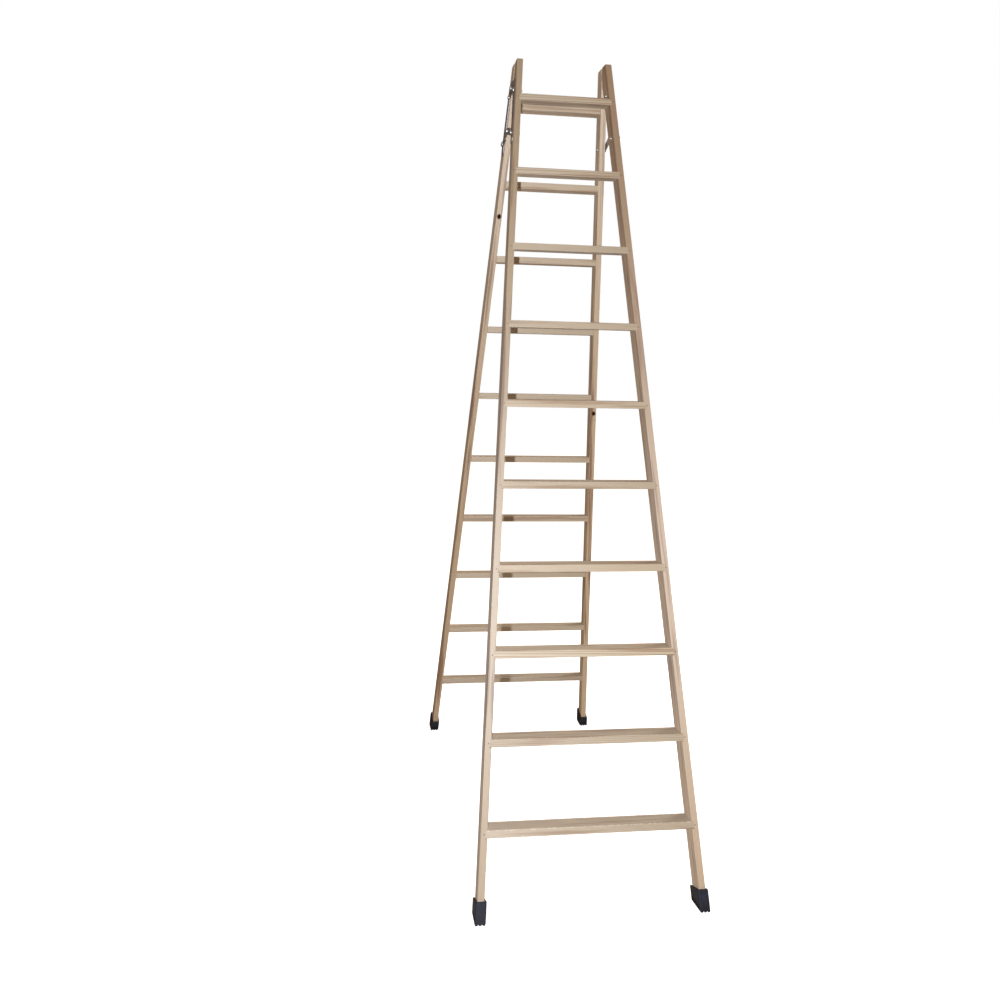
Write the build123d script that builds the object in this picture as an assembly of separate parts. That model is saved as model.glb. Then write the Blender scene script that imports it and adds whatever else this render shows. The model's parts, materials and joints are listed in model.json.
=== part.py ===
from build123d import *
import math
import os

# Double-sided folding step ladder: two tapered timber frames hinged at the top.
# World frame: +Z up, floor at Z = 0, pivot axis along X over the origin, front frame at -Y.
# Lengths are in millimetres, angles in degrees.

# The ladder as it stands open
LEAN = 17.25             # lean of each frame from the upright
TREAD_COUNT = 10         # treads to a frame
FIRST_RISE = 271.0       # floor to the walking face of the lowest tread
TREAD_PITCH = 280.0      # tread to tread along the stile
INSIDE_BOTTOM = 666.0    # between the stiles at the lowest tread
INSIDE_TOP = 319.0       # between the stiles at the top tread
PIVOT_RISE = 38.0        # top tread to the hinge pivot
STILE_HEAD = 128.0       # top tread to the top of the stiles
PIVOT_INSET = 12.3       # hinge pivot to the inner edge of a stile
HEAD_GAP = 12.5          # between the heads of the two frames

# Stiles
STILE_WIDTH = 70.0
STILE_THICK = 22.0
STILE_EASE = 2.0         # radius on the long edges
HEAD_ROUND = 8.0         # radius on the head corners

# Treads, let into the stiles and held by a pinned stub tenon
TREAD_DEPTH = 63.0       # square to the frame
TREAD_THICK = 24.0
TREAD_EASE = 2.0
HOUSING_DEPTH = 7.0
TENON_DEPTH = 16.5       # from the stile's inside face to the end of the tenon
TENON_WIDTH = 38.0
TENON_THICK = 12.0
JOINERY_CLEARANCE = 0.1
PIN_RADIUS = 1.9
PIN_LENGTH = 38.0
PIN_PROUD = 0.3
PIN_CLEARANCE = 0.05

# Rubber feet
FOOT_WALL = 6.8
FOOT_HEIGHT = 70.0       # at the front edge
FOOT_ROUND = 4.5
RIM_BEVEL = 1.2
FOOT_CLEARANCE = 0.1
SOLE_THICK = 16.0
SOLE_RIBS = 7            # along the foot
SOLE_ROWS = 3            # across the foot
GROOVE_WIDTH = 7.0       # at the floor, of a V-shaped groove
GROOVE_DEPTH = 6.0

# Hinge plates
PLATE_THICK = 3.0
ARM_WIDTH = 46.0
LEG_WIDTH = 38.0
UPPER_RIVET = 35.0       # below the pivot, along the stile
RIVET_SPACING = 164.0
LEG_TAIL = 24.5          # lower rivet to the centre of the rounded leg end
OUTER_CORNER = 27.0
INNER_CORNER = 8.0
LAP_RADIUS = 20.0        # end of the plate that lies underneath
LAP_GAP = 1.1            # lets the lapped ends turn on splayed stiles
LAP_RELIEF = 1.0         # let into the stile's face behind the lapped ends, for the same reason
JOGGLE_CLEARANCE = 1.0
JOGGLE_RUN = 5.0
JOGGLE_WALL = 2.0
JOGGLE_FOOT = 3.0
JOGGLE_START = 8.0       # along the arm from the pivot, clear of the other arm when folded
BOSS_BEVEL = 2.0

# Folding stays
STAY_WIDTH = 23.0
STAY_THICK = 3.0
STAY_GAP = 0.15          # stay over the hinge plate
ELBOW_DROP = 149.6       # pivot to elbow, straight down
ELBOW_GAP = 0.7
CRANK_START = 36.0       # from the elbow
CRANK_RUN = 12.0

# Rivets
RIVET_SHANK = 4.0
UPPER_HEAD = 8.0
LOWER_HEAD = 8.2
HEAD_HEIGHT = 4.6
SNAP_HEAD = 6.3          # head closed on the inside of the stile
SNAP_HEIGHT = 7.0
PIVOT_SHANK = 5.0
PIVOT_HEAD = 8.8
PIVOT_HEAD_HEIGHT = 4.8
ELBOW_HEAD = 7.7
ELBOW_TAIL = 6.0
ELBOW_TAIL_HEIGHT = 2.3
RUNNING_CLEARANCE = 0.05

# Each frame is drawn upright, with the pivot axis at its origin, and then leaned open
SIN_LEAN = math.sin(math.radians(LEAN))
COS_LEAN = math.cos(math.radians(LEAN))
TAN_LEAN = SIN_LEAN / COS_LEAN
TOP_TREAD = FIRST_RISE + (TREAD_COUNT - 1) * TREAD_PITCH * COS_LEAN
PIVOT_HEIGHT = TOP_TREAD + PIVOT_RISE
OPEN = Pos(0, 0, PIVOT_HEIGHT) * Rot(-LEAN, 0, 0)
TURN = Rot(0, 0, 180)

INNER_EDGE = -PIVOT_INSET
FRONT_EDGE = INNER_EDGE - STILE_WIDTH
LEG_CENTRE = PIVOT_INSET + STILE_WIDTH / 2
OUTWARD = (0, 0, 1)
UPWARDS = (Align.CENTER, Align.CENTER, Align.MIN)
CRANK_RISE = STAY_THICK + ELBOW_GAP


def upright(y, height):
    """Upright place of a point given by its depth and height on the open ladder."""
    rise = height - PIVOT_HEIGHT
    return (y * COS_LEAN - rise * SIN_LEAN, y * SIN_LEAN + rise * COS_LEAN)


def at_height(y, height):
    """Upright place, at upright depth y, of what stands at this height when open."""
    return (y, (height - PIVOT_HEIGHT + y * SIN_LEAN) / COS_LEAN)


TREAD_LEVELS = [
    at_height(FRONT_EDGE, FIRST_RISE)[1] + step * TREAD_PITCH for step in range(TREAD_COUNT)
]
SPLAY = (INSIDE_BOTTOM - INSIDE_TOP) / 2 / (TREAD_LEVELS[-1] - TREAD_LEVELS[0])
COS_SPLAY = math.cos(math.atan(SPLAY))
SIN_SPLAY = math.sin(math.atan(SPLAY))
STILE_SPAN = STILE_THICK / COS_SPLAY
LOWEST = at_height(FRONT_EDGE - FOOT_WALL, 0)[1] - STILE_WIDTH
HIGHEST = at_height(INNER_EDGE, TOP_TREAD + STILE_HEAD)[1] + STILE_WIDTH
REACH_DEPTH = 2 * (PIVOT_INSET + STILE_WIDTH + FOOT_WALL)


def inner_face(z):
    """Half the width between the stiles at upright height z."""
    return INSIDE_TOP / 2 + (TREAD_LEVELS[-1] - z) * SPLAY


def splayed_block(near, far):
    """Block between two planes that lie parallel to the right stile's faces."""
    outline = Polygon(
        (inner_face(LOWEST) + near, LOWEST),
        (inner_face(LOWEST) + far, LOWEST),
        (inner_face(HIGHEST) + far, HIGHEST),
        (inner_face(HIGHEST) + near, HIGHEST),
        align=None,
    )
    return extrude(Plane.XZ * outline, amount=REACH_DEPTH, both=True)


def across_frame(profile, reach):
    """Bar from stile to stile with this side profile, its ends reaching into the stiles."""
    low, high = inner_face(LOWEST) + reach, inner_face(HIGHEST) + reach
    wedge = Polygon((-low, LOWEST), (low, LOWEST), (high, HIGHEST), (-high, HIGHEST), align=None)
    bar = extrude(Plane.YZ * profile, amount=inner_face(LOWEST), both=True)
    return bar & extrude(Plane.XZ * wedge, amount=REACH_DEPTH, both=True)


def level_bar(level, front, back, drop, thick):
    """Side profile of a bar that lies level when the ladder stands open."""
    def top(y):
        return level + (y - FRONT_EDGE) * TAN_LEAN - drop / COS_LEAN

    height = thick / COS_LEAN
    return Polygon(
        (front, top(front)),
        (back, top(back)),
        (back, top(back) - height),
        (front, top(front) - height),
        align=None,
    )


def tread_body(level):
    profile = level_bar(level, FRONT_EDGE, FRONT_EDGE + TREAD_DEPTH, 0, TREAD_THICK)
    return across_frame(fillet(profile.vertices(), TREAD_EASE), HOUSING_DEPTH)


def tread_housing(level):
    grow = JOINERY_CLEARANCE
    back = FRONT_EDGE + TREAD_DEPTH + grow
    profile = level_bar(level, FRONT_EDGE - STILE_EASE, back, -grow, TREAD_THICK + 2 * grow)
    rear_corners = profile.vertices().sort_by(Axis.X)[-2:]
    return across_frame(fillet(rear_corners, TREAD_EASE), HOUSING_DEPTH + grow)


def tenon_bar(level, grow):
    middle = FRONT_EDGE + TREAD_DEPTH / 2
    front, back = middle - TENON_WIDTH / 2 - grow, middle + TENON_WIDTH / 2 + grow
    drop = (TREAD_THICK - TENON_THICK) / 2 - grow
    profile = level_bar(level, front, back, drop, TENON_THICK + 2 * grow)
    return across_frame(profile, TENON_DEPTH + grow)


def pin_pair(level, radius, end):
    """Both pins of a tread, driven level through the stile's narrow edge into the tenon."""
    height = level - TREAD_THICK / 2 / COS_LEAN
    place = Pos(0, FRONT_EDGE, height) * Rot(LEAN - 90, 0, 0)
    shank = Cylinder(radius, end + PIN_PROUD, align=UPWARDS)
    offset = inner_face(height) + STILE_SPAN / 2
    right = Pos(offset, 0, 0) * place * Pos(0, 0, -PIN_PROUD) * shank
    return [right, mirror(right, about=Plane.YZ)]


def pin_holes(level):
    return pin_pair(level, PIN_RADIUS + PIN_CLEARANCE, PIN_LENGTH + PIN_CLEARANCE)


def tread(level):
    return tread_body(level) + tenon_bar(level, 0) - pin_holes(level)


def stile():
    """Right-hand stile: a splayed board with a rounded, cut-back head and a socket for each tread."""
    head_height = TOP_TREAD + STILE_HEAD
    cut_start = (-HEAD_GAP / 2 - INNER_EDGE * COS_LEAN) / SIN_LEAN
    outline = Polygon(
        at_height(FRONT_EDGE, SOLE_THICK),
        at_height(INNER_EDGE, SOLE_THICK),
        (INNER_EDGE, cut_start),
        upright(-HEAD_GAP / 2, head_height),
        at_height(FRONT_EDGE, head_height),
        align=None,
    )
    outline = fillet(outline.vertices().sort_by(Axis.Y)[-2:], HEAD_ROUND)
    board = extrude(Plane.YZ * outline, amount=2 * inner_face(LOWEST), both=True)
    board = board & splayed_block(0, STILE_SPAN)
    board = fillet(board.edges().sort_by(SortBy.LENGTH)[-4:], STILE_EASE)
    for level in TREAD_LEVELS:
        board = board - tread_housing(level) - tenon_bar(level, JOINERY_CLEARANCE) - pin_holes(level)
    return board


def foot():
    """Right-hand rubber foot: a cap over the stile's end with a studded level sole."""
    front, back = FRONT_EDGE - FOOT_WALL, INNER_EDGE + FOOT_WALL
    rim = at_height(front, FOOT_HEIGHT)[1]
    outline = Polygon(at_height(front, 0), at_height(back, 0), (back, rim), (front, rim), align=None)
    side_wall = FOOT_WALL / COS_SPLAY
    cap = extrude(Plane.YZ * outline, amount=2 * inner_face(LOWEST), both=True)
    cap = cap & splayed_block(-side_wall, STILE_SPAN + side_wall)
    cap = fillet(cap.edges().filter_by(lambda edge: abs(edge.tangent_at(0).Z) > COS_LEAN), FOOT_ROUND)
    cap = chamfer(cap.faces().sort_by(Axis.Z)[-1].edges(), RIM_BEVEL)
    return cap - foot_pocket(rim) - sole_grooves(front, back)


def foot_pocket(rim):
    front, back = FRONT_EDGE - FOOT_CLEARANCE, INNER_EDGE + FOOT_CLEARANCE
    top = rim + FOOT_WALL
    outline = Polygon(
        at_height(front, SOLE_THICK), at_height(back, SOLE_THICK), (back, top), (front, top), align=None
    )
    pocket = extrude(Plane.YZ * outline, amount=2 * inner_face(LOWEST), both=True)
    return pocket & splayed_block(-FOOT_CLEARANCE, STILE_SPAN + FOOT_CLEARANCE)


def groove(length):
    """Cutter for a V-shaped groove along Y in the underside of a level sole."""
    section = Polygon(
        (-GROOVE_WIDTH, -GROOVE_DEPTH), (GROOVE_WIDTH, -GROOVE_DEPTH), (0, GROOVE_DEPTH), align=None
    )
    return extrude(Plane.XZ * section, amount=length, both=True)


def sole_grooves(front, back):
    """Grooves that part the sole into studs, cut along and across it and off its rim."""
    front_level, back_level = at_height(front, 0)[1], at_height(back, 0)[1]
    first = front * COS_LEAN + front_level * SIN_LEAN
    last = back * COS_LEAN + back_level * SIN_LEAN
    near = inner_face(front_level) - FOOT_WALL
    width = STILE_SPAN + 2 * FOOT_WALL
    middle = (first + last) / 2
    cuts = []
    for rib in range(SOLE_RIBS + 1):
        place = Pos(near + width / 2, first + (last - first) * rib / SOLE_RIBS, 0)
        cuts.append(place * Rot(0, 0, 90) * groove(width))
    for row in range(SOLE_ROWS + 1):
        place = Pos(near + width * row / SOLE_ROWS, middle, 0)
        cuts.append(place * groove(last - first))
    return [OPEN.inverse() * cut for cut in cuts]


def stile_face(side):
    """Plane on a stile's outer face at the pivot, seen from outside: x to the right, y up."""
    outer = inner_face(0) + STILE_SPAN
    return Plane((side * outer, 0, 0), x_dir=(0, side, 0), z_dir=(side * COS_SPLAY, 0, SIN_SPLAY))


def arm_edge(x, offset):
    """Height of a line that runs along the plate's arm, this far above the pivot's own line."""
    return (offset - x * SIN_LEAN) / COS_LEAN


def plate_outline(hand):
    """Arm from the pivot, level when open, and leg along the stile; hand is +1 or -1."""
    outer, inner = LEG_CENTRE + LEG_WIDTH / 2, LEG_CENTRE - LEG_WIDTH / 2
    tail = -(UPPER_RIVET + RIVET_SPACING + LEG_TAIL)
    top_corner = (outer, arm_edge(outer, ARM_WIDTH / 2))
    under_corner = (inner, arm_edge(inner, -ARM_WIDTH / 2))
    arm_and_leg = Polygon(
        (-LAP_RADIUS * SIN_LEAN, -LAP_RADIUS * COS_LEAN),
        under_corner,
        (inner, tail),
        (outer, tail),
        top_corner,
        (LAP_RADIUS * SIN_LEAN, LAP_RADIUS * COS_LEAN),
        align=None,
    )
    outline = arm_and_leg + Circle(LAP_RADIUS) + Pos(LEG_CENTRE, tail) * Circle(LEG_WIDTH / 2)
    outline = fillet(outline.vertices().sort_by_distance(top_corner)[0], OUTER_CORNER)
    outline = fillet(outline.vertices().sort_by_distance(under_corner)[0], INNER_CORNER)
    return outline if hand > 0 else mirror(outline, about=Plane.YZ)


def joggle(hand, cut_radius):
    """Pressed slope that carries the arm up to its raised end, over the end of the other plate."""
    raised = PLATE_THICK + LAP_GAP
    top_edge = LAP_RADIUS + JOGGLE_CLEARANCE
    low_edge = top_edge + JOGGLE_RUN
    rim = cut_radius + JOGGLE_FOOT
    section = Polygon(
        (LAP_RADIUS - JOGGLE_FOOT, raised),
        (top_edge, raised),
        (low_edge, 0),
        (rim, 0),
        (rim, PLATE_THICK),
        (low_edge + JOGGLE_WALL, PLATE_THICK),
        (top_edge + JOGGLE_WALL, raised + PLATE_THICK),
        (LAP_RADIUS - JOGGLE_FOOT, raised + PLATE_THICK),
        align=None,
    )
    ring = revolve(Plane.XZ * section, axis=Axis.Z)
    arm = Box(2 * rim, ARM_WIDTH, 4 * raised, align=(Align.MIN, Align.CENTER, Align.CENTER))
    return ring & (Rot(0, 0, -LEAN if hand > 0 else 180 + LEAN) * Pos(JOGGLE_START, 0, 0) * arm)


def boss():
    """Raised round end of the upper plate, bevelled on its outer side."""
    raised = PLATE_THICK + LAP_GAP
    half = ARM_WIDTH / 2
    section = Polygon(
        (0, raised),
        (half, raised),
        (half, raised + PLATE_THICK - BOSS_BEVEL),
        (half - BOSS_BEVEL, raised + PLATE_THICK),
        (0, raised + PLATE_THICK),
        align=None,
    )
    return revolve(Plane.XZ * section, axis=Axis.Z)


def rivet_holes():
    """Cutter for the two rivets through a plate's leg and the stile behind it."""
    shank = Cylinder(RIVET_SHANK + RUNNING_CLEARANCE, 4 * STILE_THICK)
    return [shank, Pos(0, -RIVET_SPACING, 0) * shank]


def at_rivets(side):
    """Place of the upper rivet on the outer face of the front frame's stile on this side."""
    return stile_face(side).location * Pos(-side * LEG_CENTRE, -UPPER_RIVET, 0)


def pivot_bore(side, radius, start, length):
    """Cylinder on the pivot axis that starts this far outside the stile's face."""
    outer = inner_face(0) + STILE_SPAN
    place = Pos(side * (outer + start), 0, 0) * Rot(0, side * 90, 0)
    return place * Cylinder(radius, length, align=UPWARDS)


def pivot_hole(side):
    return pivot_bore(side, PIVOT_SHANK + RUNNING_CLEARANCE, -STILE_THICK, 3 * STILE_THICK)


def seat_offset(level):
    """Distance along the pivot axis to a plate face at this level over the stile."""
    return level / COS_SPLAY


def under_plate(side):
    """Flat plate whose arm lies underneath at the pivot, faced off for the rivet's inner head."""
    blank = extrude(plate_outline(-side), amount=PLATE_THICK, dir=OUTWARD)
    plate = stile_face(side).location * blank
    facing = pivot_bore(side, PIVOT_HEAD + RUNNING_CLEARANCE, -STILE_THICK, STILE_THICK)
    holes = [at_rivets(side) * hole for hole in rivet_holes()]
    return plate - pivot_hole(side) - facing - holes


def over_plate(side):
    """Plate whose arm is pressed outwards at the pivot, faced off for the rivet's outer head."""
    cut_radius = LAP_RADIUS + JOGGLE_CLEARANCE + JOGGLE_RUN + JOGGLE_WALL
    blank = extrude(plate_outline(-side), amount=PLATE_THICK, dir=OUTWARD)
    flat = blank - Cylinder(cut_radius, 2 * ARM_WIDTH)
    plate = stile_face(side).location * (flat + joggle(-side, cut_radius) + boss())
    seat = seat_offset(2 * PLATE_THICK + LAP_GAP)
    facing = pivot_bore(side, PIVOT_HEAD + RUNNING_CLEARANCE, seat, STILE_THICK)
    holes = [at_rivets(side) * hole for hole in rivet_holes()]
    return plate - pivot_hole(side) - facing - holes


def dome_profile(radius, height, base):
    """Half section of a domed head that stands on this level, for a turn about Z."""
    sphere = (radius ** 2 + height ** 2) / (2 * height)
    arc = RadiusArc((radius, base), (0, base + height), -sphere)
    return make_face([arc, Line((0, base + height), (0, base)), Line((0, base), (radius, base))])


def dome(radius, height, base):
    return revolve(Plane.XZ * dome_profile(radius, height, base), axis=Axis.Z)


def rivet(shank_radius, low, high, low_head, high_head):
    """Rivet along Z between two levels; a head is a (radius, height) pair."""
    shank = Cylinder(shank_radius, high - low, align=UPWARDS)
    upper = dome(*high_head, high)
    lower = Rot(180, 0, 0) * dome(*low_head, -low)
    return Pos(0, 0, low) * shank + upper + lower


def stile_rivet(top, head_radius):
    """Rivet through the stile, with its wide head at this level outside and a snap head inside."""
    snap = (SNAP_HEAD, SNAP_HEIGHT)
    return rivet(RIVET_SHANK, -STILE_THICK, top, snap, (head_radius, HEAD_HEIGHT))


def plate_rivet(side):
    return at_rivets(side) * stile_rivet(PLATE_THICK, UPPER_HEAD)


def stay_rivet(side):
    top = PLATE_THICK + 2 * STAY_GAP + STAY_THICK
    return at_rivets(side) * Pos(0, -RIVET_SPACING, 0) * stile_rivet(top, LOWER_HEAD)


def pivot_rivet(side):
    """Rivet on the pivot axis, headed outside the raised plate and inside the flat one."""
    head = (PIVOT_HEAD, PIVOT_HEAD_HEIGHT)
    outside = seat_offset(2 * PLATE_THICK + LAP_GAP) + RUNNING_CLEARANCE
    outer = inner_face(0) + STILE_SPAN
    place = Pos(side * outer, 0, 0) * Rot(0, side * 90, 0)
    return place * rivet(PIVOT_SHANK, 0, outside, head, head)


def elbow_point(side):
    """Elbow of the open stay on a stile's outer face, measured from the pivot."""
    return (side * ELBOW_DROP * SIN_LEAN, -ELBOW_DROP * COS_LEAN / COS_SPLAY)


def stay_run(side):
    """How far the lower rivet lies across and up from the elbow, on the same face."""
    across, up = elbow_point(side)
    return (-side * LEG_CENTRE - across, -(UPPER_RIVET + RIVET_SPACING) - up)


def at_elbow(side):
    """Place of the elbow, with x pointing along the stay to its lower rivet."""
    across, up = stay_run(side)
    angle = math.degrees(math.atan2(up, across))
    return stile_face(side).location * Pos(*elbow_point(side), 0) * Rot(0, 0, angle)


def stay(side, elbow_rise):
    """Link from the elbow to the lower rivet; its elbow end is cranked outwards by the rise."""
    length = math.hypot(*stay_run(side))
    base = PLATE_THICK + STAY_GAP
    end = STAY_WIDTH / 2
    crank_end = CRANK_START + CRANK_RUN
    section = Polygon(
        (-end, base + elbow_rise),
        (CRANK_START, base + elbow_rise),
        (crank_end, base),
        (length + end, base),
        (length + end, base + STAY_THICK),
        (crank_end, base + STAY_THICK),
        (CRANK_START, base + elbow_rise + STAY_THICK),
        (-end, base + elbow_rise + STAY_THICK),
        align=None,
    )
    outline = Circle(end) + Pos(length, 0) * Circle(end) + Pos(length / 2, 0) * Rectangle(length, STAY_WIDTH)
    strip = extrude(Plane.XZ * section, amount=STAY_WIDTH, both=True)
    hole = Cylinder(RIVET_SHANK + RUNNING_CLEARANCE, 4 * STILE_THICK)
    link = strip & extrude(outline, amount=STILE_THICK, dir=OUTWARD)
    return at_elbow(side) * (link - hole - Pos(length, 0, 0) * hole)


def elbow_head(side):
    """Outer half of the elbow rivet, in the cranked link."""
    base = PLATE_THICK + STAY_GAP + CRANK_RISE
    shank = Cylinder(RIVET_SHANK, STAY_THICK, align=UPWARDS)
    head = dome(ELBOW_HEAD, HEAD_HEIGHT, base + STAY_THICK)
    return at_elbow(side) * (Pos(0, 0, base) * shank + head)


def elbow_tail(side):
    """Inner half of the elbow rivet, in the flat link."""
    base = PLATE_THICK + STAY_GAP
    shank = Cylinder(RIVET_SHANK, STAY_THICK, align=UPWARDS)
    tail = Rot(180, 0, 0) * dome(ELBOW_TAIL, ELBOW_TAIL_HEIGHT, -base)
    return at_elbow(side) * (Pos(0, 0, base) * shank + tail)


def bored_stile(side):
    """Stile with its two rivet holes and the shallow relief behind the pivot."""
    board = stile() if side > 0 else mirror(stile(), about=Plane.YZ)
    relief = Cylinder(LAP_RADIUS + JOGGLE_CLEARANCE, STILE_THICK, align=UPWARDS)
    recess = stile_face(side).location * Pos(0, 0, -LAP_RELIEF) * relief
    return board - recess - [at_rivets(side) * hole for hole in rivet_holes()]


def frame_pieces():
    """One frame in its upright place, by name; the rear frame's left is the front frame's right."""
    cap = foot()
    pieces = {
        "{frame}_{left}_foot": mirror(cap, about=Plane.YZ),
        "{frame}_{right}_foot": cap,
        "{frame}_{left}_stile": bored_stile(-1),
        "{frame}_{right}_stile": bored_stile(1),
        "{frame}_{left}_hinge_plate": over_plate(-1),
        "{frame}_{right}_hinge_plate": under_plate(1),
        "{frame}_{left}_stay": stay(-1, 0),
        "{frame}_{right}_stay": stay(1, CRANK_RISE),
        "{frame}_{left}_stay_rivet": stay_rivet(-1),
        "{frame}_{right}_stay_rivet": stay_rivet(1),
        "{frame}_plate_rivets": Compound(children=[plate_rivet(-1), plate_rivet(1)]),
        "{right}_pivot_rivet": pivot_rivet(1),
        "{right}_elbow_rivet_head": elbow_head(1),
        "{left}_elbow_rivet_tail": elbow_tail(-1),
    }
    for number, level in enumerate(TREAD_LEVELS, start=1):
        pieces["{frame}_tread_" + f"{number:02d}"] = tread(level)
    pins = [pin for level in TREAD_LEVELS for pin in pin_pair(level, PIN_RADIUS, PIN_LENGTH)]
    pieces["{frame}_tread_pins"] = Compound(children=pins)
    return pieces


FRONT = {"frame": "front", "left": "left", "right": "right"}
REAR = {"frame": "rear", "left": "right", "right": "left"}

os.makedirs("parts", exist_ok=True)
for template, piece in frame_pieces().items():
    export_step(OPEN * piece, f"parts/{template.format(**FRONT)}.step")
    export_step(TURN * OPEN * piece, f"parts/{template.format(**REAR)}.step")
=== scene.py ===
# %% [markdown]
# # A double-sided wooden step ladder
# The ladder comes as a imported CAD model: every board, plate and rivet is already in its place, in metres.
# We leave those shapes alone, give each one the finish of the real thing, turn rounder heads for the rivets,
# and then add a floor, light and a camera.

import json
import math
import random

import bmesh
import bpy
from mathutils import Matrix, Vector

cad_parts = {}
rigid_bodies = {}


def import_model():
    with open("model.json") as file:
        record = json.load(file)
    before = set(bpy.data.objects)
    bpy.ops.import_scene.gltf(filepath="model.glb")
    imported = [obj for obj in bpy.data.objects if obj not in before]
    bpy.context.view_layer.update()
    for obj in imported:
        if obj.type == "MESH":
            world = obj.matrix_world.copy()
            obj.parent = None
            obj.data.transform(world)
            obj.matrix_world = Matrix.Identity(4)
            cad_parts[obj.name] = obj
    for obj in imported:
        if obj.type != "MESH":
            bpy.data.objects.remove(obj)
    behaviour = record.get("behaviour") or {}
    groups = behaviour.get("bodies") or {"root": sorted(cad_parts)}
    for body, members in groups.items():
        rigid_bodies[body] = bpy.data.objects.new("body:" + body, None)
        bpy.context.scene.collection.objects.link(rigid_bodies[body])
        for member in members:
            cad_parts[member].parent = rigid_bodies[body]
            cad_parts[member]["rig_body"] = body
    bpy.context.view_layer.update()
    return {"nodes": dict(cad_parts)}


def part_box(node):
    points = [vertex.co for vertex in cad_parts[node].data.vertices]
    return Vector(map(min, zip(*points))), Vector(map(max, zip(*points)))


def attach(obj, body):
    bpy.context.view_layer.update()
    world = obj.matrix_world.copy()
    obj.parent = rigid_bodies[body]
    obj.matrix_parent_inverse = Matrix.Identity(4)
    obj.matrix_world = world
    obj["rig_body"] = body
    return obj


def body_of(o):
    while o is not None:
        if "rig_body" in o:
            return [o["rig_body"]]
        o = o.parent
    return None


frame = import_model()
nodes = frame["nodes"]

# %% [markdown]
# ## Helpers for materials
# Colours are given as sRGB hex values, but shaders work with linear light, so one function turns
# the first into the second. Another adds a node, sets it up and links it, so that a material reads as
# a list of steps: its inputs may be plain values or the outputs of earlier nodes.


# %% Colour and node helpers
def linear(hex_colour):
    channels = [int(hex_colour[i:i + 2], 16) / 255 for i in (1, 3, 5)]
    return [c / 12.92 if c <= 0.04045 else ((c + 0.055) / 1.055) ** 2.4 for c in channels] + [1.0]


def add(tree, kind, inputs=None, stops=(), **settings):
    node = tree.nodes.new(kind)
    for name, value in settings.items():
        setattr(node, name, value)
    for name, value in (inputs or {}).items():
        if isinstance(value, bpy.types.NodeSocket):
            tree.links.new(value, node.inputs[name])
        else:
            node.inputs[name].default_value = value
    if stops:
        ramp = node.color_ramp.elements
        while len(ramp) < len(stops):
            ramp.new(1.0)
        for element, (place, colour) in zip(ramp, stops):
            element.position = place
            element.color = linear(colour)
    return node


print("the middle grey #808080 is", round(linear("#808080")[0], 3), "in linear light")


# %% Begin a material, end it and put it on a piece
def new_material(name):
    material = bpy.data.materials.new(name)
    material.use_nodes = True
    material.node_tree.nodes.clear()
    return material, material.node_tree


def close(tree, **inputs):
    """Ends a material with the shader and its output."""
    shader = add(tree, "ShaderNodeBsdfPrincipled", {name.replace("_", " "): v for name, v in inputs.items()})
    add(tree, "ShaderNodeOutputMaterial", {"Surface": shader.outputs[0]})


def dress(name, material):
    mesh = nodes[name].data
    mesh.materials.clear()
    mesh.materials.append(material)


print("pieces to dress:", len(nodes))

# %% [markdown]
# ## Growth rings
# Pine has pale early wood and a narrow, darker band of late wood in each year's ring. The rings are tubes
# round the heart of the tree. A board is a slice through them, so the same tubes show as straight lines on
# one face, as long pointed arches on another and as arcs on a sawn end. We could paint stripes on each face,
# but a solid pattern of tubes gets all faces right at once. Wider streaks of browner wood run along it too.

# %% Rings and streaks
RING_WIDTH = 0.0032          # one year's growth
RING_WAVE = math.pi / 10     # width of one ring of the wave pattern at scale 1
RING_WANDER = 25             # how many times more slowly the wood changes along the board than across it
STREAK_WIDTH = 0.02
print("rings to a metre across the grain:", round(1 / RING_WIDTH))


def board_axes(tree, place, turn, stretch=1):
    """Coordinates counted from this place, with x along the board and drawn out by the stretch."""
    point = add(tree, "ShaderNodeTexCoord").outputs["Object"]
    return add(tree, "ShaderNodeMapping", {
        "Vector": point, "Location": place, "Rotation": turn.to_euler(), "Scale": (stretch, 1, 1),
    }, vector_type="TEXTURE").outputs[0]


def ring_colour(tree, heart, colours, phase, least_brown):
    """Rings and streaks; the last argument is the least share of browner wood at each point of the board."""
    rings = add(tree, "ShaderNodeTexWave", {
        "Vector": heart, "Scale": RING_WAVE / RING_WIDTH, "Distortion": 8.0, "Detail": 2.0,
        "Detail Scale": 0.13, "Phase Offset": phase,
    }, wave_type="RINGS", rings_direction="X", wave_profile="SAW").outputs["Fac"]
    figure = add(tree, "ShaderNodeValToRGB", {"Fac": rings}, stops=[
        (0.0, colours["early"]), (0.35, colours["early"]), (0.65, colours["mid"]), (0.84, colours["late"]),
        (1.0, colours["early"]),
    ]).outputs["Color"]
    streaks = add(tree, "ShaderNodeTexNoise", {
        "Vector": heart, "Scale": 1 / STREAK_WIDTH, "Detail": 3.0,
    }).outputs["Fac"]
    brown = add(tree, "ShaderNodeMapRange", {
        "Value": streaks, "From Min": 0.52, "From Max": 0.61, "To Min": least_brown,
    }).outputs[0]
    return add(tree, "ShaderNodeMix", {
        0: brown, 6: figure, 7: linear(colours["streak"]),
    }, data_type="RGBA", blend_type="MULTIPLY").outputs[2]


# %% [markdown]
# ## Fibres and knots
# Between the rings the wood is a bundle of fine fibres, some darker and some paler, and no board has
# the same tone from end to end. Where a branch once grew out of the trunk, a dark round knot runs through
# the board. Noise drawn out along the board makes the fibres, and a knot is everything within a small
# distance of a line across it.

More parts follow.
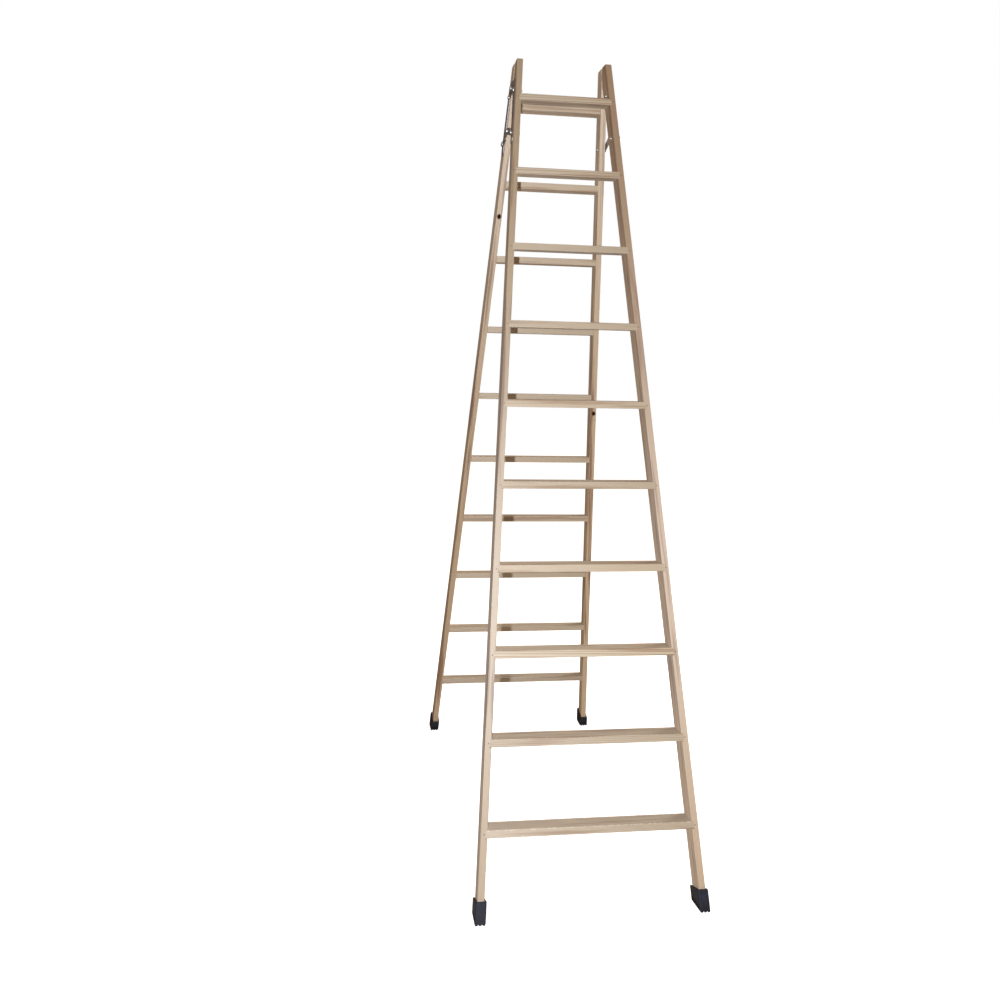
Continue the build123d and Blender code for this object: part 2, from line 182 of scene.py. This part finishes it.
# %% Fibres and tone
FIBRE_WIDTH = 0.0020         # real fibres are far finer; drawn this coarse so that they show
FIBRE_LENGTH = 60            # in fibre widths
FIBRE_LIGHT = (0.88, 1.07)   # brightness of the darkest and the palest fibres
BLOTCH_WIDTH = 0.11
BLOTCH_LIGHT = (0.92, 1.06)
print("fibres are drawn", round(FIBRE_WIDTH * FIBRE_LENGTH * 1000), "mm long")


def fibre_tone(tree, colour, fibres, heart, shade):
    light = add(tree, "ShaderNodeMapRange", {
        "Value": fibres, "From Min": 0.3, "From Max": 0.7, "To Min": FIBRE_LIGHT[0], "To Max": FIBRE_LIGHT[1],
    }).outputs[0]
    blotches = add(tree, "ShaderNodeTexNoise", {
        "Vector": heart, "Scale": 1 / BLOTCH_WIDTH, "Detail": 2.0,
    }).outputs["Fac"]
    slow = add(tree, "ShaderNodeMapRange", {
        "Value": blotches, "From Min": 0.3, "From Max": 0.7,
        "To Min": BLOTCH_LIGHT[0] * shade, "To Max": BLOTCH_LIGHT[1] * shade,
    }).outputs[0]
    tone = add(tree, "ShaderNodeMath", {0: light, 1: slow}, operation="MULTIPLY").outputs[0]
    return add(tree, "ShaderNodeMix", {
        0: 1.0, 6: colour, 7: tone,
    }, data_type="RGBA", blend_type="MULTIPLY").outputs[2]


# %% Knots
KNOT_RADIUS = 0.007
KNOT_RIM = (0.8, 1.4)        # shares of the radius between which the knot fades out
KNOT_SHAPE = (0.8, 0, 1)     # a little longer along the board, and right through its width
KNOT_BROWN = "#2E1608"
print("knots are", round(2 * KNOT_RADIUS * 1000), "mm thick")


def with_knot(tree, colour, board, along):
    """The colour with the knot in it, and how much the fibres shine, as they run end on in the knot."""
    apart = add(tree, "ShaderNodeVectorMath", {0: board, 1: (along, 0, 0)}, operation="SUBTRACT").outputs[0]
    squashed = add(tree, "ShaderNodeVectorMath", {0: apart, 1: KNOT_SHAPE}, operation="MULTIPLY").outputs[0]
    distance = add(tree, "ShaderNodeVectorMath", {0: squashed}, operation="LENGTH").outputs["Value"]
    share = add(tree, "ShaderNodeMapRange", {
        "Value": distance, "From Min": KNOT_RIM[0] * KNOT_RADIUS, "From Max": KNOT_RIM[1] * KNOT_RADIUS,
        "To Min": 1.0, "To Max": 0.0,
    }).outputs[0]
    dark = add(tree, "ShaderNodeMix", {
        0: share, 6: colour, 7: linear(KNOT_BROWN),
    }, data_type="RGBA").outputs[2]
    dull = add(tree, "ShaderNodeMix", {
        0: share, 6: (1, 1, 1, 1), 7: linear(KNOT_BROWN),
    }, data_type="RGBA").outputs[2]
    return dark, dull


# %% [markdown]
# ## Wear
# Shoes rub the long edges of the lower treads pale and press grey dirt into the grain of their tops. We find
# the edges by how far a point lies from the nearest one, and break that distance up with noise, so that
# the rubbed patches look like chance. The dirt lies only on faces that look up.

# %% Rubbed edges and trodden tops
CHIP_SIZE = 0.014
EDGE_RUB = 0.008             # how far the rubbed look reaches from the edge of a fully worn tread
LEAST_EDGE_RUB = 0.0002
DIRT = "#7C7268"
print("edges of a worn tread are rubbed up to", round(EDGE_RUB * 1000), "mm in")


def rub_edges(tree, colour, board, half_size, bare, rub):
    """Pale edges; rub runs from 0, new, to 1, fully worn."""
    folded = add(tree, "ShaderNodeVectorMath", {0: board}, operation="ABSOLUTE").outputs[0]
    inset = add(tree, "ShaderNodeVectorMath", {
        0: (0, *half_size), 1: folded,
    }, operation="SUBTRACT").outputs[0]
    across = add(tree, "ShaderNodeVectorMath", {0: inset, 1: (0, 1, 1)}, operation="MULTIPLY").outputs[0]
    from_edge = add(tree, "ShaderNodeVectorMath", {0: across}, operation="LENGTH").outputs["Value"]
    chips = add(tree, "ShaderNodeTexNoise", {
        "Vector": board, "Scale": 1 / CHIP_SIZE, "Detail": 4.0, "Roughness": 0.7,
    }).outputs["Fac"]
    reach = add(tree, "ShaderNodeMapRange", {
        "Value": chips, "From Min": 0.42, "From Max": 0.72,
        "To Min": LEAST_EDGE_RUB, "To Max": EDGE_RUB * rub,
    }).outputs[0]
    rubbed = add(tree, "ShaderNodeMath", {0: from_edge, 1: reach}, operation="LESS_THAN").outputs[0]
    share = add(tree, "ShaderNodeMath", {0: rubbed, 1: 0.2 + 0.6 * rub}, operation="MULTIPLY").outputs[0]
    return add(tree, "ShaderNodeMix", {0: share, 6: colour, 7: linear(bare)}, data_type="RGBA").outputs[2]


def tread_on(tree, colour, fibres, rub):
    """Grey dirt along the darker fibres of faces that look up."""
    facing = add(tree, "ShaderNodeTexCoord").outputs["Normal"]
    up = add(tree, "ShaderNodeSeparateXYZ", {0: facing}).outputs["Z"]
    top = add(tree, "ShaderNodeMath", {0: up, 1: 0.9}, operation="GREATER_THAN").outputs[0]
    dirt = add(tree, "ShaderNodeMapRange", {
        "Value": fibres, "From Min": 0.38, "From Max": 0.6, "To Min": 0.7 * rub, "To Max": 0.05 * rub,
    }).outputs[0]
    share = add(tree, "ShaderNodeMath", {0: top, 1: dirt}, operation="MULTIPLY").outputs[0]
    return add(tree, "ShaderNodeMix", {0: share, 6: colour, 7: linear(DIRT)}, data_type="RGBA").outputs[2]


# %% [markdown]
# ## A planed board
# All of this makes one board. Each gets a heart line of its own, a little out of parallel with the board.
# Planed fibres shine like brushed metal: each one is a tiny rod, so light is thrown wide across the grain
# and hardly spread along it. The shader's anisotropy does the same, once it knows which way the fibres run.

# %% Pine colours and sheen
# To the eye: pale boards with brown lines, and a white sheen on the stiles where the fibres face the lamp.
STILE_PINE = {
    "early": "#D0BC9C", "mid": "#C1A57E", "late": "#87643A", "streak": "#AC865A", "rubbed": "#CDBEAB",
}
TREAD_PINE = {
    "early": "#D2C3A8", "mid": "#C6B18D", "late": "#987549", "streak": "#D2B895", "rubbed": "#D3C8BA",
}
PLANED_ROUGHNESS = (0.64, 0.72)
SHEEN_IOR = 2.35             # above that of wood, as it stands in for light sent back from inside the fibres
SHEEN_SPREAD = 0.56          # 0 would spread the light alike along and across the grain
ACROSS_GRAIN = 0.25          # a quarter turn from the direction of the fibres
FIBRE_RELIEF = 0.0004
print("share of light the fibres send back:", round(2 * ((SHEEN_IOR - 1) / (SHEEN_IOR + 1)) ** 2, 2))

# %% One board
HEART_BEARING = 30           # degrees either way from straight behind the wide face
HEART_DISTANCE = (0.04, 0.09)
HEART_TILT = (0.25, 0.7)     # degrees out of parallel
draw = random.Random(9)
print("the heart of each tree lies", [round(d * 1000) for d in HEART_DISTANCE], "mm from its board's middle")


def pine(node, colours, turn, half_size, rub, shade, least_brown=(0, 0), slope=0.0, knot=None):
    """Board whose length is turn's x axis; half_size is half its width and half its thickness.

    The two least shares of browner wood are for its lower and upper end. The slope is how steeply the fibres
    dip into the board, which moves the sheen along it. The knot's place is counted along it from its middle.
    """
    material, tree = new_material(f"planed_pine_{node}")
    low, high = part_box(node)
    centre = (low + high) / 2
    half_length = (high - low).length / 2
    bearing = Matrix.Rotation(math.radians(draw.uniform(-HEART_BEARING, HEART_BEARING)), 3, "X")
    reach = Vector((0, 0, draw.uniform(*HEART_DISTANCE) * draw.choice((-1, 1))))
    tilt = Matrix.Rotation(math.radians(draw.uniform(*HEART_TILT) * draw.choice((-1, 1))), 3, "Y")
    phase = draw.uniform(0, math.tau)

    heart = board_axes(tree, centre + turn @ bearing @ reach, turn @ tilt, RING_WANDER)
    board = board_axes(tree, centre, turn)
    fibres = add(tree, "ShaderNodeTexNoise", {
        "Vector": board_axes(tree, centre, turn, FIBRE_LENGTH), "Scale": 1 / FIBRE_WIDTH,
        "Detail": 3.0, "Roughness": 0.6,
    }).outputs["Fac"]
    browning = add(tree, "ShaderNodeMapRange", {
        "Value": add(tree, "ShaderNodeSeparateXYZ", {0: board}).outputs["X"], "From Min": -half_length,
        "From Max": half_length, "To Min": least_brown[0], "To Max": least_brown[1],
    }).outputs[0]
    colour = ring_colour(tree, heart, colours, phase, browning)
    colour = fibre_tone(tree, colour, fibres, heart, shade)
    shine = (1, 1, 1, 1)
    if knot is not None:
        colour, shine = with_knot(tree, colour, board, knot)
    colour = tread_on(tree, colour, fibres, rub)
    colour = rub_edges(tree, colour, board, half_size, colours["rubbed"], rub)

    rough = add(tree, "ShaderNodeMapRange", {
        "Value": fibres, "To Min": PLANED_ROUGHNESS[0], "To Max": PLANED_ROUGHNESS[1],
    }).outputs[0]
    relief = add(tree, "ShaderNodeBump", {
        "Height": fibres, "Strength": 0.25, "Distance": FIBRE_RELIEF,
    }).outputs[0]
    along = add(tree, "ShaderNodeCombineXYZ", dict(zip("XYZ", turn.col[0]))).outputs[0]
    facing = add(tree, "ShaderNodeVectorMath", {
        0: along, 1: (-slope, -slope, -slope), 2: relief,
    }, operation="MULTIPLY_ADD").outputs[0]
    close(tree, Base_Color=colour, Roughness=rough, Normal=facing, Tangent=along, IOR=SHEEN_IOR,
          Specular_IOR_Level=1.0, Specular_Tint=shine, Anisotropic=SHEEN_SPREAD,
          Anisotropic_Rotation=ACROSS_GRAIN)
    return material


# %% [markdown]
# ## Stiles and treads
# The four stiles lean with their frame and splay towards the floor, so each one's grain has to be turned
# the same way. We work that turn out from the two angles. The treads lie level from stile to stile, so their
# grain needs no turn. The lowest are worn most.

# %% Which way each stile runs
LEAN = math.radians(17.25)
SPLAY = math.radians(3.94)
FRAMES = {                   # stiles from left to right for someone who faces that side
    "front": ("left", "right"),
    "rear": ("right", "left"),
}


def stile_turn(frame_name, hand):
    """Turns x along the stile, y across its wide face and z through its thickness; hand is -1 or 1."""
    facing = Matrix.Rotation(math.pi if frame_name == "rear" else 0, 3, "Z")
    upright = Matrix.Rotation(-(math.pi / 2 + hand * SPLAY), 3, "Y")
    return facing @ Matrix.Rotation(-LEAN, 3, "X") @ upright


turns = {}
for frame_name, sides in FRAMES.items():
    for hand, side in zip((-1, 1), sides):
        turns[f"{frame_name}_{side}"] = stile_turn(frame_name, hand)
print("a metre of stile stands", round(turns["front_left"].col[0].z, 3), "m high")

# %% Cut every board from its own tree
STILE_HALF = (0.035, 0.011)
STILE_RUB = 0.15
# shade is each board's own tone; the rear boards are also made paler, which is painted light: it makes up for
# the lamp's light falling off towards the far frame
STILES = {
    "front_left": {"shade": 0.84, "slope": 0.07},
    # front_right grows browner towards its upper end, rear_left towards its lower end
    "front_right": {"shade": 1.14, "slope": 0.07, "least_brown": (0.28, 0.62)},
    "rear_left": {"shade": 1.2, "least_brown": (0.25, 0), "knot": 0.93},
    "rear_right": {"shade": 1.2, "knot": 0.14},
}
TREADS = range(1, 11)
TREAD_HALF = (0.0315, 0.012)
# the rear treads are paler than the front ones: painted light that makes up for the lamp's fall-off towards
# the far frame
TREAD_SHADES = {"front": (0.88, 0.98), "rear": (1.0, 1.1)}
LOWEST_RUB = 0.9             # wear of the lowest tread, and how much less each one above it has
RUB_STEP = 0.35
LEAST_RUB = 0.25
LOW_TREAD_DIMMING = 0.16             # share of its brightness that a tread of full rub loses: the treads get darker towards the floor

for frame_name, sides in FRAMES.items():
    for side in sides:
        stile = f"{frame_name}_{side}"
        wood = pine(f"{stile}_stile", STILE_PINE, turns[stile], STILE_HALF, STILE_RUB, **STILES[stile])
        dress(f"{stile}_stile", wood)
    for number in TREADS:
        tread = f"{frame_name}_tread_{number:02d}"
        rub = max(LEAST_RUB, LOWEST_RUB - RUB_STEP * (number - 1))
        # the lower the tread, the darker its wood
        shade = draw.uniform(*TREAD_SHADES[frame_name]) * (1 - LOW_TREAD_DIMMING * rub)
        dress(tread, pine(tread, TREAD_PINE, Matrix.Identity(3), TREAD_HALF, rub, shade))
print("pine boards:", sum("pine" in m.name for m in bpy.data.materials))

# %% [markdown]
# ## Hinge steel, rivets and nails
# The hinge plates and stays are pressed from cold-rolled steel sheet, with fine rolling lines and a web
# of handling scratches. The rivet heads are zinc plated, and the nails in the stiles are plain wire that
# has gone dark. Scratches could be drawn one by one, but noise that is drawn out along one slanting direction
# gives a whole field of them, and the same function serves all three metals.

# %% Steel finishes
CLOUD_SIZE = 1 / 60          # about 17 mm
SCRATCH_SIZE = (1 / 200, 1 / 1400, 1 / 60)    # depth, width and length; coarser than real, to show
SCRATCH_SLANT = math.radians(38)
SCRATCH_RELIEF = 0.0002
print("scratches are", [round(s * 1000, 1) for s in SCRATCH_SIZE[1:]], "mm wide and long")


def steel(name, tones, roughness, scratch):
    """Metal in three tones, dark to pale; scratch is the share of scratches in its marks."""
    material, tree = new_material(name)
    place = add(tree, "ShaderNodeTexCoord").outputs["Object"]
    clouds = add(tree, "ShaderNodeTexNoise", {
        "Vector": place, "Scale": 1 / CLOUD_SIZE, "Detail": 4.0, "Roughness": 0.65,
    }).outputs["Fac"]
    slanted = add(tree, "ShaderNodeMapping", {
        "Vector": place, "Rotation": (SCRATCH_SLANT, 0, 0), "Scale": [1 / s for s in SCRATCH_SIZE],
    }).outputs[0]
    lines = add(tree, "ShaderNodeTexNoise", {"Vector": slanted, "Scale": 1.0, "Detail": 3.0}).outputs["Fac"]
    marks = add(tree, "ShaderNodeMix", {0: scratch, 2: clouds, 3: lines}).outputs[0]
    colour = add(tree, "ShaderNodeValToRGB", {"Fac": marks}, stops=[
        (0.3, tones[0]), (0.5, tones[1]), (0.68, tones[2]),
    ]).outputs["Color"]
    rough = add(tree, "ShaderNodeMapRange", {
        "Value": marks, "From Min": 0.3, "From Max": 0.7, "To Min": roughness[0], "To Max": roughness[1],
    }).outputs[0]
    relief = add(tree, "ShaderNodeBump", {
        "Height": lines, "Strength": 0.15, "Distance": SCRATCH_RELIEF,
    }).outputs[0]
    close(tree, Base_Color=colour, Metallic=1.0, Roughness=rough, Normal=relief)
    return material


# %% Dress the metal pieces
# To the eye: dull grey plates, rivet heads that catch a bright spot of light, and nearly black nails.
plate_steel = steel("cold_rolled_steel", ("#85858B", "#A2A2A8", "#C0C0C6"), (0.42, 0.6), 0.6)
zinc = steel("zinc_plated_rivet", ("#C6CBD2", "#D8DDE3", "#E8ECF0"), (0.36, 0.5), 0.3)
wire = steel("dark_wire_nail", ("#5A544E", "#6E6861", "#857E75"), (0.4, 0.6), 0.3)
for name in nodes:
    if name.endswith("_hinge_plate") or name.endswith("_stay"):
        dress(name, plate_steel)
    elif "rivet" in name:
        dress(name, zinc)
    elif name.endswith("_pins"):
        dress(name, wire)
print("steel pieces:", sum(o.data.materials[0] in (plate_steel, zinc, wire) for o in nodes.values()))

# %% [markdown]
# ## Button heads
# A rivet is closed with a cupped tool, which leaves a round head with steep sides. The CAD rivets have
# shallower domes outside the plates, so a turned cap goes over each one. We measure where the CAD head sits,
# draw half a section of the cap and spin it about the rivet's axis. The steep rim catches the lamp from
# the side, where a shallow dome stays dull.

# %% A cap for one head
HEAD_HEIGHT = 0.0046
PIVOT_HEAD_HEIGHT = 0.0048
SPIN_STEPS = 32
MERGE_DISTANCE = 1e-6
SECTION = [                  # shares of the head's radius and height, from the rim to the middle
    (1.04, 0.0), (1.04, 0.4), (0.99, 0.64), (0.88, 0.84), (0.66, 1.0), (0.35, 1.08), (0.0, 1.1),
]
print("faces on a cap:", SPIN_STEPS * (len(SECTION) - 1))


def button_head(node, side, axis, height):
    """Cap over the head that this rivet has at the outer end of the axis; side is -1 for left."""
    turn = axis.to_track_quat("Z", "Y").to_matrix()
    points = [turn.transposed() @ v.co for v in nodes[node].data.vertices if v.co.x * side > 0]
    low = [min(p[i] for p in points) for i in range(3)]
    high = [max(p[i] for p in points) for i in range(3)]
    radius = (high[0] - low[0]) / 2
    seat = turn @ Vector(((low[0] + high[0]) / 2, (low[1] + high[1]) / 2, high[2] - height))

    shape = bmesh.new()
    ring = [shape.verts.new((radius * r, 0, height * h)) for r, h in SECTION]
    edges = [shape.edges.new(pair) for pair in zip(ring, ring[1:])]
    bmesh.ops.spin(shape, geom=ring + edges, cent=(0, 0, 0), axis=(0, 0, 1), angle=math.tau,
                   steps=SPIN_STEPS, use_merge=True)
    bmesh.ops.remove_doubles(shape, verts=shape.verts, dist=MERGE_DISTANCE)
    bmesh.ops.recalc_face_normals(shape, faces=shape.faces)
    bmesh.ops.transform(shape, matrix=Matrix.Translation(seat) @ turn.to_4x4(), verts=shape.verts)
    for face in shape.faces:
        face.smooth = True
    mesh = bpy.data.meshes.new(f"{node}_button_{'left' if side < 0 else 'right'}")
    shape.to_mesh(mesh)
    shape.free()
    mesh.materials.append(zinc)
    cap = bpy.data.objects.new(mesh.name, mesh)
    bpy.context.scene.collection.objects.link(cap)
    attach(cap, body_of(nodes[node])[0])
    return radius


# %% Turn the heads
for side, side_name in ((-1, "left"), (1, "right")):
    faces = {}
    for frame_name in FRAMES:
        normal = turns[f"{frame_name}_{side_name}"].col[2]
        faces[frame_name] = normal if normal.x * side > 0 else -normal
        button_head(f"{frame_name}_plate_rivets", side, faces[frame_name], HEAD_HEIGHT)
        button_head(f"{frame_name}_{side_name}_stay_rivet", side, faces[frame_name], HEAD_HEIGHT)
    outer_link = "front" if side > 0 else "rear"
    elbow = button_head(f"{side_name}_elbow_rivet_head", side, faces[outer_link], HEAD_HEIGHT)
    pivot = button_head(f"{side_name}_pivot_rivet", side, Vector((side, 0, 0)), PIVOT_HEAD_HEIGHT)
    print(side_name, "head radii in mm: elbow", round(elbow * 1000, 1), "pivot", round(pivot * 1000, 1))

# %% [markdown]
# ## Moulded rubber feet
# The feet are moulded in a dark rubber, finely grained by the mould and greyer where they have been
# dragged over floors. The grain could be modelled, but it is so fine that bump alone breaks up the shine.

# %% Rubber
# To the eye: a matt, slightly bluish black.
SCUFF_SIZE = 1 / 45          # about 22 mm
GRAIN_SIZE = 1 / 900         # about 1 mm, coarser than real so that it shows
GRAIN_RELIEF = 0.0003
rubber, tree = new_material("moulded_rubber")
place = add(tree, "ShaderNodeTexCoord").outputs["Object"]
scuffs = add(tree, "ShaderNodeTexNoise", {
    "Vector": place, "Scale": 1 / SCUFF_SIZE, "Detail": 6.0, "Roughness": 0.7,
}).outputs["Fac"]
grain = add(tree, "ShaderNodeTexNoise", {
    "Vector": place, "Scale": 1 / GRAIN_SIZE, "Detail": 2.0,
}).outputs["Fac"]
colour = add(tree, "ShaderNodeValToRGB", {"Fac": scuffs}, stops=[
    (0.35, "#0B101D"), (0.55, "#111A2E"), (0.75, "#223152"),
]).outputs["Color"]
rough = add(tree, "ShaderNodeMapRange", {"Value": scuffs, "To Min": 0.5, "To Max": 0.75}).outputs[0]
relief = add(tree, "ShaderNodeBump", {"Height": grain, "Strength": 0.3, "Distance": GRAIN_RELIEF}).outputs[0]
close(tree, Base_Color=colour, Roughness=rough, Normal=relief)
feet = [name for name in nodes if name.endswith("_foot")]
for name in feet:
    dress(name, rubber)
print("rubber feet:", len(feet))

# %% [markdown]
# ## Floor and light
# The ladder stands on a plain white floor that runs out of sight into a white background. The floor glows
# a little by itself, so that only the closest shadows show on it. A lamp beside the lens lights
# the front, a wide and weak one stands for light that the floor sends back up, a large soft one lights
# the back, and a warm room fills the shadows.

# %% Floor
FLOOR_WIDTH = 60             # its edge lies far behind the ladder
FLOOR_GLOW = 0.88
bpy.ops.mesh.primitive_plane_add(size=FLOOR_WIDTH, location=(0, 0, 0))
floor = bpy.context.object
floor.name = "floor"
white, tree = new_material("white_studio_floor")
close(tree, Base_Color=linear("#F4F4F4"), Roughness=0.9, Emission_Color=(1, 1, 1, 1),
      Emission_Strength=FLOOR_GLOW)
floor.data.materials.append(white)
# The glow is for the camera alone: the lamps and the room light the ladder.
floor.visible_diffuse = False
floor.visible_glossy = False
print("floor at height", floor.location.z)

# %% Room
world = bpy.data.worlds.new("studio")
bpy.context.scene.world = world
world.use_nodes = True
tree = world.node_tree
tree.nodes.clear()
direction = add(tree, "ShaderNodeTexCoord").outputs["Generated"]
height = add(tree, "ShaderNodeSeparateXYZ", {0: direction}).outputs["Z"]
share = add(tree, "ShaderNodeMapRange", {"Value": height, "From Min": -1.0, "From Max": 1.0}).outputs[0]
warm = add(tree, "ShaderNodeValToRGB", {"Fac": share}, stops=[
    (0.0, "#68513C"), (0.5, "#5A4531"), (1.0, "#B59F88"),
]).outputs["Color"]
fill = add(tree, "ShaderNodeBackground", {"Color": warm, "Strength": 1.0}).outputs[0]
seen = add(tree, "ShaderNodeBackground", {"Color": (1, 1, 1, 1), "Strength": 1.0}).outputs[0]
camera_ray = add(tree, "ShaderNodeLightPath").outputs["Is Camera Ray"]
both = add(tree, "ShaderNodeMixShader", {0: camera_ray, 1: fill, 2: seen}).outputs[0]
add(tree, "ShaderNodeOutputWorld", {"Surface": both})
bpy.context.scene.view_settings.view_transform = "Standard"    # white stays white
print("room made of", len(tree.nodes), "nodes")

# %% Lamps
LADDER_MIDDLE = (0, 0, 1.3)


def softbox(name, place, target, size, watts, colour):
    lamp = bpy.data.lights.new(name, "AREA")
    lamp.shape = "DISK"
    lamp.size = size
    lamp.energy = watts
    lamp.color = linear(colour)[:3]
    lamp_object = bpy.data.objects.new(name, lamp)
    bpy.context.scene.collection.objects.link(lamp_object)
    lamp_object.location = place
    lamp_object.visible_camera = False
    lamp_object.rotation_euler = (Vector(target) - Vector(place)).to_track_quat("-Z", "Y").to_euler()


softbox("lamp_by_the_lens", place=(-0.924, -3.933, 1.712), target=LADDER_MIDDLE, size=0.035, watts=120,
        colour="#FBFBFB")
softbox("floor_bounce", place=(0, -0.6, 0.02), target=(0, -0.6, 1), size=3.0, watts=6, colour="#FFF2E2")
softbox("rear_softbox", place=(4.2, 2.4, 2.0), target=LADDER_MIDDLE, size=1.6, watts=220, colour="#FFF9F1")
print("lamps:", [lamp.name for lamp in bpy.data.lights])

# %% [markdown]
# ## Camera
# The camera stands a little to the left, at head height, and looks slightly down. A long lens far away would
# make both frames look the same size. From four metres the near frame looks clearly larger than the far one,
# as it does to someone in the room. The small shift of the lens only moves the ladder within the picture.

# %% Camera
CAMERA_PLACE = (-0.76606, -3.95709, 1.71571)
CAMERA_TURN = (81.79866, -1.25851, -8.81324)    # degrees
lens = bpy.data.cameras.new("camera")
lens.sensor_width = 36
lens.lens = 37.92
lens.shift_x = -0.01338
lens.shift_y = 0.01915
camera = bpy.data.objects.new("camera", lens)
bpy.context.scene.collection.objects.link(camera)
camera.location = CAMERA_PLACE
camera.rotation_euler = [math.radians(a) for a in CAMERA_TURN]
bpy.context.scene.camera = camera
print("field of view in degrees:", round(math.degrees(lens.angle), 1))
